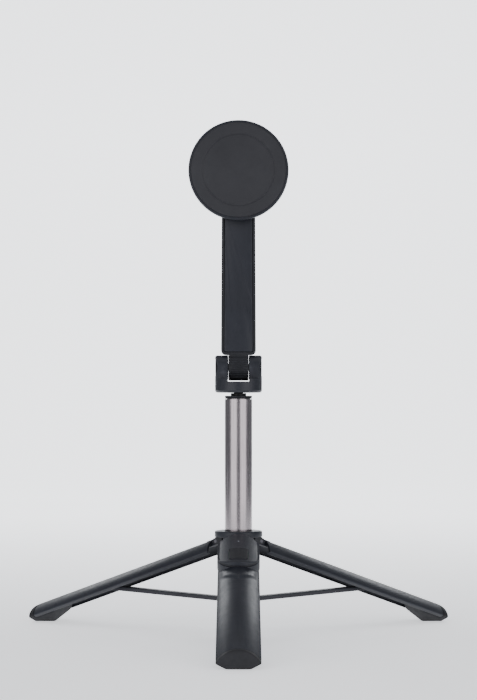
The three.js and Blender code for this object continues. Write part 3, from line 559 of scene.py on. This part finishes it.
def foot_rings():
    """The foot as rings across the leg, from its tail to its toe.

    Each ring is seen from a point inside it. The distance to the round back, to the two sides
    of the leg's third, to the sole line and to the nose curve is worked out along each ray, and
    the ring is a smooth minimum of them, so every edge comes out rounded.
    """
    nose_z = toe[1] + 0.08 * MM
    z = np.concatenate([np.linspace(tail[1], SHELL_END + 0.01 * MM, 26),
                        SHELL_END - 0.3 * MM - (SHELL_END - 0.3 * MM - nose_z) * np.sin(
                            np.linspace(0, math.pi / 2, 40))])
    z = z[:, None]
    angle = np.linspace(0, 2 * math.pi, 144, endpoint=False)[None, :]
    under_z = np.array([toe[1], sole_front[1], sole_back[1], heel[1], tail[1]])
    under_x = np.array([toe[0], sole_front[0], sole_back[0], heel[0], tail[0]])
    low = np.interp(z, under_z, under_x)
    s = np.linspace(0, 1, 60)
    crown = (handle_r, SHELL_END - 0.6 * MM)
    turn_at = (handle_r - 0.3 * MM, toe[1] + 0.3 * MM)
    curve = [(1 - s) ** 2 * crown[k] + 2 * s * (1 - s) * turn_at[k] + s ** 2 * toe[k] for k in (0, 1)]
    high = np.interp(z, curve[1][::-1], curve[0][::-1])
    back = np.where(z > SHELL_END, LIP_R - 0.3 * MM, handle_r)
    high = np.minimum(high, back)
    middle = (np.maximum(low, 0) + high) / 2
    cosine, sine = np.cos(angle), np.sin(angle)
    to_back = -middle * cosine + np.sqrt(np.maximum(back ** 2 - (middle * sine) ** 2, 1e-12))
    far = 1.0
    side_slope = math.tan(FOOT_HALF_ANGLE)
    closing = np.abs(sine) - side_slope * cosine
    to_side = np.where(closing > 1e-6, (side_slope * middle - FOOT_GAP) / np.maximum(closing, 1e-6), far)
    to_low = np.where(cosine < -1e-6, (middle - low) / np.maximum(-cosine, 1e-6), far)
    to_high = np.where(cosine > 1e-6, (high - middle) / np.maximum(cosine, 1e-6), far)
    walls = np.stack([to_back, to_side, to_low, to_high])
    power = 22
    nearest = np.min(walls, 0)
    ray = nearest * np.sum((nearest / walls) ** power, 0) ** (-1 / power)
    return np.stack([middle + ray * cosine, ray * sine, np.broadcast_to(z, ray.shape)], -1)


foot_shape = foot_rings()
for side in AZIMUTHS:
    foot = surface(f"foot_{side}_rubber", on_leg(foot_shape, side), around=True, capped=True, sharp=60)
    fit(foot, f"leg_{side}", "foot_rubber", foot_rubber, f"foot_{side}")

# ---- Braces: flat steel bars between the slider and the tracks inside the legs ----
# Powder-coated black, with a round eye at each end.
brace_metal = moulded("brace_metal", (0.42, 0.55), 1500.0, 0.00006, wear=0.5,
                      worn=(0.3, 0.3, 0.31, 1))
BRACE_HALF = 3 * MM
BRACE_R = 1.2 * MM
TRACK_R = 9 * MM
BRACE_REACH = 82.5 * MM
slide_pin_r = axis_y - joints["brace_front_swing"]["pos_m"][1]
slide_pin_z = joints["brace_front_swing"]["pos_m"][2]
track_x = hinge_r + (TRACK_R - hinge_r) * math.cos(fold) + BRACE_REACH * math.sin(fold)
track_z = hinge_z + (TRACK_R - hinge_r) * math.sin(fold) - BRACE_REACH * math.cos(fold)
brace_length = math.hypot(track_x - slide_pin_r, track_z - slide_pin_z)
brace_tilt = math.atan2(track_z - slide_pin_z, track_x - slide_pin_r)
brace_side = np.concatenate([arc((brace_length, 0), BRACE_R, -90, 90), arc((0, 0), BRACE_R, 90, 270)])


def on_brace(rings, side):
    """Carries (along, up, across) points of a brace to its place under a leg."""
    along, up, across = np.moveaxis(rings, -1, 0)
    reach = slide_pin_r + along * math.cos(brace_tilt) - up * math.sin(brace_tilt)
    height = slide_pin_z + along * math.sin(brace_tilt) + up * math.cos(brace_tilt)
    turn = math.radians(AZIMUTHS[side])
    return np.stack([reach * math.cos(turn) - across * math.sin(turn),
                     axis_y + reach * math.sin(turn) + across * math.cos(turn), height], -1)


for side in AZIMUTHS:
    brace = slab(f"brace_{side}_bar", brace_side, -BRACE_HALF, BRACE_HALF, 0.5 * MM,
                 lambda rings: on_brace(rings, side))
    fit(brace, f"brace_{side}", "brace_metal", brace_metal, f"brace_{side}")

# ---- Remote seat: the boss on the front leg that the remote clips onto ----
# Moulded in one with the leg: a flat pad with a window for the remote's back, and a raised
# collar below it that sinks back into the leg's round face. The pad is a mesh of its own here.
REMOTE_WIDTH = 23 * MM
REMOTE_LENGTH = 37.4 * MM
REMOTE_START = 1.2 * MM
REMOTE_MIDDLE = -REMOTE_START - REMOTE_LENGTH / 2
SEAT_X = 13.7 * MM
WINDOW_WIDTH = 14.6 * MM
WINDOW_LENGTH = 28.1 * MM


def stadium(width, length, count=40):
    """A bar with round ends as across, along points, its middle at the remote's middle."""
    r = width / 2
    half = length / 2 - r
    return np.concatenate([arc((0, REMOTE_MIDDLE + half), r, 0, 180, count),
                           arc((0, REMOTE_MIDDLE - half), r, 180, 360, count)])


def off_leg(rings):
    """Carries (across, along, outward) points of the front leg's face to their place."""
    return on_leg(rings[..., [2, 0, 1]], "front")


def joined(piece, other, operation):
    """piece after a boolean with other, which is used up. The mesh keeps no modifier."""
    cutter = piece.modifiers.new(operation.lower(), "BOOLEAN")
    cutter.operation = operation
    cutter.object = other
    cutter.solver = "EXACT"
    view_layer = bpy.context.evaluated_depsgraph_get()
    view_layer.update()
    mesh = bpy.data.meshes.new_from_object(piece.evaluated_get(view_layer))
    piece.modifiers.clear()
    piece.data = mesh
    bpy.data.objects.remove(other)
    mesh.shade_smooth()
    mesh.set_sharp_from_angle(angle=math.radians(30))
    return piece


COLLAR_START = REMOTE_MIDDLE - REMOTE_LENGTH / 2 - 6.5 * MM
COLLAR_FALL = 7.5 * MM
COLLAR_LIFT = 1.15 * MM
COLLAR_HALF = math.radians(46)


def raised(points):
    """The front leg's section points with the collar raised on their outer face.

    The lift is the collar's height, times one less the squared share of the collar's half
    angle, times a smooth step along the leg that falls away below the remote.
    """
    x, y, z = np.moveaxis(points, -1, 0)
    radius, angle = np.hypot(x, y), np.arctan2(y, x)
    fall = np.clip((z - (COLLAR_START - COLLAR_FALL * (1 - np.abs(angle) / COLLAR_HALF))) /
                   (COLLAR_FALL * 0.55), 0, 1)
    step = fall * fall * (3 - 2 * fall)
    crown = np.clip(1 - (angle / COLLAR_HALF) ** 2, 0, 1)
    lift = COLLAR_LIFT * crown * step * (radius > handle_r - 0.3 * MM)
    return np.stack([x + lift * np.cos(angle), y + lift * np.sin(angle), z], -1)


collar_places = np.linspace(REMOTE_MIDDLE - REMOTE_LENGTH / 2 + 1.5 * MM, COLLAR_START - COLLAR_FALL, 60)
front_stations = leg_stations[:3] + [(place, 0) for place in collar_places] + leg_stations[3:]
front_rings = np.array([
    np.column_stack([leg_section(inset), np.full(SECTION_POINTS, place)])
    for place, inset in front_stations])
below_remote = front_rings[..., 2] < REMOTE_MIDDLE - REMOTE_LENGTH / 2 + 2 * MM
lifted = np.where(below_remote[..., None], raised(front_rings), front_rings)
front_shell = surface("leg_front_shell", on_leg(lifted, "front"), around=True, capped=True)


def window_cutter():
    """The seat's window as a plug that reaches right through the leg's wall and the pad."""
    return slab("seat_window", stadium(WINDOW_WIDTH, WINDOW_LENGTH), 8 * MM, 16 * MM, 0, off_leg)


front_shell = joined(front_shell, window_cutter(), "DIFFERENCE")
fit(front_shell, "leg_front", "shell_plastic", shell_plastic, "leg_shell_front")
pad = slab("leg_front_seat", stadium(REMOTE_WIDTH, REMOTE_LENGTH), 8 * MM, SEAT_X, 0.4 * MM, off_leg)
inside = slab("seat_inside", arc((0, 0), handle_r - LEG_WALL, 0, 360, 96)[:-1], -60 * MM, 1 * MM, 0,
              lambda rings: on_leg(rings, "front"))
pad = joined(pad, inside, "DIFFERENCE")
tongue_room = slab("tongue_room", np.array([(-20, -4), (20, -4), (20, 9), (-20, 9)]) * MM,
                   0, 20 * MM, 0, off_leg)
pad = joined(pad, tongue_room, "DIFFERENCE")
pad = joined(pad, window_cutter(), "DIFFERENCE")
fit(pad, "leg_front", "shell_plastic", shell_plastic, "leg_shell_front")

# ---- Remote control: a small Bluetooth shutter, tray below and crowned cover above ----
# Two satin mouldings snapped together, with a matt key, a light guide, a board and a coin cell.
button_plastic = moulded("button_plastic", (0.5, 0.62), 3200.0, 0.00002, wear=0.2)
FACE_X = 17.3 * MM
CROWN_R = 23.3 * MM
COVER_FOOT = SEAT_X + 1.3 * MM
COVER_WALL = 1 * MM
BUTTON_WIDTH = 10 * MM
BUTTON_LENGTH = 14.5 * MM
BUTTON_MIDDLE = -REMOTE_START - 26.3 * MM
BUTTON_CORNER = 2 * MM
BUTTON_GAP = 0.3 * MM
LED_MIDDLE = -REMOTE_START - 10 * MM
LED_R = 0.5 * MM


def seen_from(outline, middle, count=240):
    """A closed outline that is star-shaped about a point of its middle line, at equal angles."""
    offset = outline - np.array([0, middle])
    angle = np.arctan2(offset[:, 1], offset[:, 0])
    order = np.argsort(angle)
    at = np.linspace(-math.pi, math.pi, count, endpoint=False)
    radius = np.hypot(offset[:, 0], offset[:, 1])[order]
    ray = np.interp(at, angle[order], radius, period=2 * math.pi)
    return np.stack([ray * np.cos(at), middle + ray * np.sin(at)], -1)


def key_outline(grow):
    """The key's rounded rectangle, grown by that much."""
    w, h = BUTTON_WIDTH / 2 + grow, BUTTON_LENGTH / 2 + grow
    corners = np.array([(w, -h), (w, h), (-w, h), (-w, -h)]) + np.array([0, BUTTON_MIDDLE])
    return even(rounded(corners, BUTTON_CORNER + grow, 12), 720)


def crowned(across, drop=0.0):
    """The cover's crown: a circle about the leg's length, lower by drop."""
    return FACE_X - drop - CROWN_R + np.sqrt(CROWN_R ** 2 - across ** 2)


def cover_rings(outer, inner, foot, wall):
    """The cover as rings between two outlines, from the inner hole out over the face and down.

    The face blends from one outline to the other; the rim is a quarter circle; the underside
    comes back to the hole, so that the first ring follows the last.
    """
    rim = 0.55 * MM
    share = np.concatenate([np.zeros(3), np.linspace(0, 1, 14)])
    bend = np.linspace(0, math.pi / 2, 9)
    centre = np.array([0, REMOTE_MIDDLE])
    shrink = 1 - rim / (REMOTE_WIDTH / 2)
    inset_outer = centre + (outer - centre) * shrink
    face = inner[None] * (1 - share[:, None, None]) + inset_outer[None] * share[:, None, None]
    depth = np.concatenate([[wall, 0.25 * MM, 0.08 * MM], np.zeros(14)])
    face_x = crowned(face[..., 0]) - depth[:, None]
    out = np.sin(bend)[1:, None, None]
    edge = inset_outer[None] * (1 - out) + outer[None] * out
    edge_x = crowned(inset_outer[:, 0])[None] - rim * (1 - np.cos(bend))[1:, None]
    side_x = np.full((2, len(outer)), foot)
    side = np.stack([outer, centre + (outer - centre) * (1 - wall / (REMOTE_WIDTH / 2))])
    under = centre + (outer - centre) * (1 - wall / (REMOTE_WIDTH / 2))
    under_x = crowned(under[:, 0])[None] - wall - 0.2 * MM
    plan = np.concatenate([face, edge, side, under[None]])
    return np.concatenate([plan, np.concatenate([face_x, edge_x, side_x, under_x])[..., None]], -1)


outer_line = seen_from(even(stadium(REMOTE_WIDTH, REMOTE_LENGTH), 1440), BUTTON_MIDDLE)
hole_line = seen_from(key_outline(BUTTON_GAP), BUTTON_MIDDLE)
cover_grid = cover_rings(outer_line, hole_line, COVER_FOOT, COVER_WALL)
cover = surface("remote_cover_shell", off_leg(cover_grid), around=True, closed=True)
fit(cover, "remote", "shell_plastic", shell_plastic, "remote_cover")

key_line = seen_from(key_outline(0), BUTTON_MIDDLE)
key_shares = np.concatenate([[1, 1, 0.985, 0.95], np.linspace(0.9, 0, 10)])
key_depth = np.concatenate([[1.45, 0.25, 0.06, 0], np.zeros(10)]) * MM
key_centre = np.array([0, BUTTON_MIDDLE])
key_plan = key_centre + (key_line - key_centre)[None] * key_shares[:, None, None]
KEY_PROUD = 0.3 * MM
key_x = crowned(key_plan[..., 0]) + KEY_PROUD - key_depth[:, None]
key_foot = np.broadcast_to([0, BUTTON_MIDDLE, key_x[0].min()], (1, len(key_line), 3))
key_grid = np.concatenate([key_foot, np.concatenate([key_plan, key_x[..., None]], -1)])
key = surface("remote_key", off_leg(key_grid), around=True)
fit(key, "remote_button", "button_plastic", button_plastic, "remote_button")

lamp_lens = moulded("lamp_lens", (0.15, 0.25), 1200.0, 0.00001, wear=0.0)
LED_RISE = 0.12 * MM
LED_SINK = 0.1 * MM
lens_angle = np.linspace(0, 2 * math.pi, 32, endpoint=False)[None, :]
lens_tilt = np.linspace(0, math.pi / 2, 8)[:, None]
lens_out = LED_R * np.sin(lens_tilt)
lens_base = FACE_X - LED_SINK
lens_up = np.broadcast_to(lens_base + (LED_RISE + LED_SINK) * np.cos(lens_tilt), (8, 32))
lens = np.stack([lens_out * np.cos(lens_angle), LED_MIDDLE + lens_out * np.sin(lens_angle),
                 lens_up], -1)
lens_foot = np.broadcast_to([0, LED_MIDDLE, lens_base], (1, 32, 3))
lens = surface("remote_led_lens", off_leg(np.concatenate([lens, lens_foot])), around=True)
fit(lens, "remote", "lamp_lens", lamp_lens, "remote_led")

# ---- Yoke: the fork that turns on the neck and holds the arm between two cheeks ----
# One satin moulding with rounded edges; a disc cap closes each end of the arm's pin.
def softened(node, name, edge, segments=3, limit=32):
    """A copy of a CAD piece, its points merged and every edge over the limit rounded off."""
    mesh = frame["nodes"][node].data.copy()
    mesh.name = name
    mesh.materials.clear()
    tidy = bmesh.new()
    tidy.from_mesh(mesh)
    bmesh.ops.remove_doubles(tidy, verts=tidy.verts, dist=5e-6)
    bmesh.ops.dissolve_limit(tidy, angle_limit=math.radians(1), verts=tidy.verts, edges=tidy.edges)
    tidy.to_mesh(mesh)
    tidy.free()
    piece = bpy.data.objects.new(name, mesh)
    bpy.context.collection.objects.link(piece)
    mesh.shade_smooth()
    mesh.set_sharp_from_angle(angle=math.radians(limit))
    bevel = piece.modifiers.new("rounded_edges", "BEVEL")
    bevel.width = edge
    bevel.segments = segments
    bevel.limit_method = "ANGLE"
    bevel.angle_limit = math.radians(limit)
    bevel.use_clamp_overlap = True
    bevel.harden_normals = True
    return piece


YOKE_EDGE = 0.45 * MM
yoke = softened("yoke", "yoke_fork", YOKE_EDGE)
fit(yoke, "yoke", "shell_plastic", shell_plastic, "yoke")
arm_pivot = joints["arm_tilt"]["pos_m"]
for hand, sign in (("left", -1), ("right", 1)):
    low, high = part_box(f"pin_cap_{hand}")
    near, far = sorted((abs(low.x), abs(high.x)))
    cap_disc_r = (high.z - low.z) / 2
    rim = cap_disc_r - 0.9 * MM
    disc = turned(f"pin_cap_{hand}_disc", [
        (0, sign * near), (cap_disc_r, sign * near), (cap_disc_r, sign * far), (rim, sign * far),
        (rim - 0.3 * MM, sign * (far - 0.3 * MM)), (0, sign * (far - 0.3 * MM))],
        [0, 0.1 * MM, 0.25 * MM, 0.1 * MM, 0.1 * MM, 0], arm_pivot, axis="x", sides=72)
    fit(disc, "yoke", "trim_plastic", trim_plastic, f"pin_cap_{hand}")

# ---- Arm: the flat bar between the yoke and the phone plate ----
# A black moulded frame with a thin raised rim round an inset cover, and a ribbed barrel below
# that the pin passes through.
plate_pivot = joints["plate_swivel"]["pos_m"]
body_low, body_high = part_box("arm_body")
ARM_HALF = 4 * MM
BARREL_R = 7.4 * MM
BARREL_HALF = 5.6 * MM
ARM_FOOT = 7 * MM
arm_foot = arm_pivot[2] + ARM_FOOT
arm_half_low = (body_high.x - body_low.x) / 2
arm_half_top = 9.3 * MM
ARM_CORNER = 2.5 * MM
ARM_RIM = 1.5 * MM
RECESS = 1.3 * MM
ARM_EDGE = 0.6 * MM


def arm_outline(inset):
    """The arm's outline drawn in by inset: a taper with round foot corners and a round top."""
    half, top = arm_half_low - inset, arm_half_top - inset
    corner = max(ARM_CORNER - inset, 0.5 * MM)
    foot = arm_foot + inset
    points = np.concatenate([
        arc((half - corner, foot + corner), corner, -90, 0, 30),
        arc((0, plate_pivot[2]), top, 0, 180, 80),
        arc((corner - half, foot + corner), corner, 180, 270, 30)])
    return even(points, 320)


def arm_rings(steps):
    """The arm's outline at each (inset, depth) step, as x, y, z points."""
    rings = [np.insert(arm_outline(inset), 1, axis_y + depth, axis=1) for inset, depth in steps]
    return np.array(rings)


quarter = np.linspace(0, math.pi / 2, 6)
outside = [(ARM_EDGE * (1 - math.sin(q)), -ARM_HALF + ARM_EDGE * (1 - math.cos(q))) for q in quarter]
rear = [(inset, -depth) for inset, depth in outside[::-1]]
frame_steps = ([(ARM_RIM + 0.1 * MM, -ARM_HALF + RECESS), (ARM_RIM, -ARM_HALF + 0.2 * MM),
                (ARM_RIM - 0.1 * MM, -ARM_HALF)] + outside + rear)
arm_frame = surface("arm_frame", arm_rings(frame_steps), around=True, capped=True)
fit(arm_frame, "arm", "trim_plastic", trim_plastic, "arm_body")
COVER_GAP = 0.25 * MM
panel_in = ARM_RIM + COVER_GAP
panel_front = -ARM_HALF + 0.15 * MM
panel_steps = [(panel_in, -ARM_HALF + RECESS - 0.1 * MM), (panel_in, panel_front + 0.3 * MM),
               (panel_in + 0.1 * MM, panel_front + 0.08 * MM), (panel_in + 0.35 * MM, panel_front)]
panel = surface("arm_cover_panel", arm_rings(panel_steps), around=True, capped=True)
fit(panel, "arm", "shell_plastic", shell_plastic, "arm_cover")
RIBS = 9
RIB_DEPTH = 0.22 * MM
angle = np.linspace(0, 2 * math.pi, 216, endpoint=False)
rib = np.clip(np.cos(angle * RIBS * 4) * 3, 0, 1) * RIB_DEPTH
barrel_steps = np.array([(0, BARREL_R - 0.5 * MM), (0.12 * MM, BARREL_R - 0.15 * MM),
                         (0.5 * MM, BARREL_R), (2 * BARREL_HALF - 0.5 * MM, BARREL_R),
                         (2 * BARREL_HALF - 0.12 * MM, BARREL_R - 0.15 * MM),
                         (2 * BARREL_HALF, BARREL_R - 0.5 * MM)])
barrel_r = barrel_steps[:, 1:2] - rib[None, :]
barrel_grid = np.stack(np.broadcast_arrays(
    barrel_steps[:, :1] - BARREL_HALF, axis_y + barrel_r * np.cos(angle),
    arm_pivot[2] + barrel_r * np.sin(angle)), -1)
barrel = surface("arm_barrel", barrel_grid, around=True, capped=True)
fit(barrel, "arm", "trim_plastic", trim_plastic, "arm_body")
neck_side = np.array([(-ARM_HALF, arm_pivot[2] + 2 * MM), (ARM_HALF, arm_pivot[2] + 2 * MM),
                      (ARM_HALF, arm_foot + 1 * MM), (-ARM_HALF, arm_foot + 1 * MM)])
arm_neck = slab("arm_neck", even(rounded(neck_side, 0.4 * MM), 80), -BARREL_HALF, BARREL_HALF, 0.3 * MM,
                lambda rings: rings[..., [2, 0, 1]] + np.array([0, axis_y, 0]))
fit(arm_neck, "arm", "trim_plastic", trim_plastic, "arm_body")

# ---- Phone plate: a round magnetic holder that swivels on the arm ----
# Two black mouldings clamp a ring of magnets on a steel shield; a soft pad faces the phone.
pad_rubber = moulded("pad_rubber", (0.5, 0.66), 1800.0, 0.00006, wear=0.3,
                     worn=(0.06, 0.06, 0.065, 1), specular=0.35)


def plate_depths(node):
    """A plate piece's radius, and its back and front as distances in front of the pole."""
    low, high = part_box(node)
    return (high.x - low.x) / 2, axis_y - high.y, axis_y - low.y


plate_axis = (0, axis_y, plate_pivot[2])
BOLT_R = 2.15 * MM
plate_r, back, front = plate_depths("plate_back")
BACK_STEP = 0.5 * MM
back_shell = turned("plate_back_shell", [
    (BOLT_R, back), (plate_r * 0.36, back), (plate_r * 0.36 + 0.3 * MM, back + BACK_STEP),
    (plate_r * 0.9, back + BACK_STEP), (plate_r, back + 1.9 * MM), (plate_r, front),
    (plate_r - 1.6 * MM, front), (plate_r - 1.6 * MM, back + 1.7 * MM), (BOLT_R, back + 1.9 * MM)],
    [0.1 * MM, 0.2 * MM, 0.2 * MM, 1.2 * MM, 1.2 * MM, 0.2 * MM, 0.1 * MM, 0.1 * MM, 0.1 * MM],
    plate_axis, axis="-y", sides=160)
fit(back_shell, "plate", "shell_plastic", shell_plastic, "plate_back")
plate_r, back, front = plate_depths("plate_front")
front_ring = turned("plate_front_shell", [
    (0, back), (plate_r, back), (plate_r, front), (0, front)],
    [0, 0.2 * MM, 0.8 * MM, 0], plate_axis, axis="-y", sides=160)
fit(front_ring, "plate", "shell_plastic", shell_plastic, "plate_front")
pad_r, back, front = plate_depths("plate_pad")
GROOVE_R = 20 * MM
PAD_GROOVE = 0.25 * MM
pad_face = turned("plate_pad_face", [
    (0, back), (pad_r, back), (pad_r, front), (GROOVE_R + 0.5 * MM, front),
    (GROOVE_R + 0.25 * MM, front - PAD_GROOVE), (GROOVE_R - 0.25 * MM, front - PAD_GROOVE),
    (GROOVE_R - 0.5 * MM, front), (0, front)],
    [0, 0.1 * MM, 0.4 * MM, 0.15 * MM, 0.1 * MM, 0.1 * MM, 0.15 * MM, 0],
    plate_axis, axis="-y", sides=160)
fit(pad_face, "plate", "pad_rubber", pad_rubber, "plate_pad")

# ---- Hub, slider and the small moulded parts inside the handle ----
# Black nylon mouldings: the hub's core and ears, the slider the braces hang from, the stem's
# end cap, the bushes and the swivel's washer. Their edges are broken as a mould leaves them.
SMALL_EDGE = 0.18 * MM
MOULDED_PARTS = {
    "base": ("hub_body", "stem_cap"), "slider": ("slider",), "remote": ("remote_tray",),
    "pole_2": ("pole_bush_2",), "pole_3": ("pole_bush_3",), "pole_4": ("pole_bush_4",),
    "arm": ("swivel_washer",)}
for body, nodes in MOULDED_PARTS.items():
    for node in nodes:
        part = softened(node, f"{node}_moulding", SMALL_EDGE, 2)
        fit(part, body, "trim_plastic", trim_plastic, node)

# ---- Pins, washers, magnets and the remote's electronics ----
# Turned and stamped steel, a nickel-plated magnet ring and a green board.
# The pins are blackened, as the ends that show on the legs are dark.
pin_steel = brushed("pin_steel", (900.0, 900.0, 900.0), (0.28, 0.42), 0.12)
magnet_plating = brushed("magnet_plating", (300.0, 300.0, 300.0), (0.12, 0.2), 0.05)
circuit_board = moulded("circuit_board", (0.25, 0.35), 900.0, 0.00003, wear=0.1, worn=(0.4, 0.3, 0.1, 1))
METAL_PARTS = ["leg_pin_", "slider_pin_", "track_pin_"]
steel_nodes = [kind + side for kind in METAL_PARTS for side in AZIMUTHS] + [
    "arm_pin", "arm_washer_left", "arm_washer_right", "swivel_screw", "swivel_nut"]
body_of_node = {node: body for body, nodes in frame["record"]["behaviour"]["bodies"].items()
                for node in nodes}
for node in steel_nodes:
    part = softened(node, f"{node}_steel", 0.1 * MM, 2)
    fit(part, body_of_node[node], "pin_steel", pin_steel, node)
for node, slot, finish in (("magnet_ring", "magnet_plating", magnet_plating),
                           ("shield_ring", "magnet_plating", magnet_plating),
                           ("remote_cell", "magnet_plating", magnet_plating),
                           ("remote_board", "circuit_board", circuit_board)):
    part = softened(node, f"{node}_part", 0.08 * MM, 2)
    fit(part, body_of_node[node], slot, finish, node)
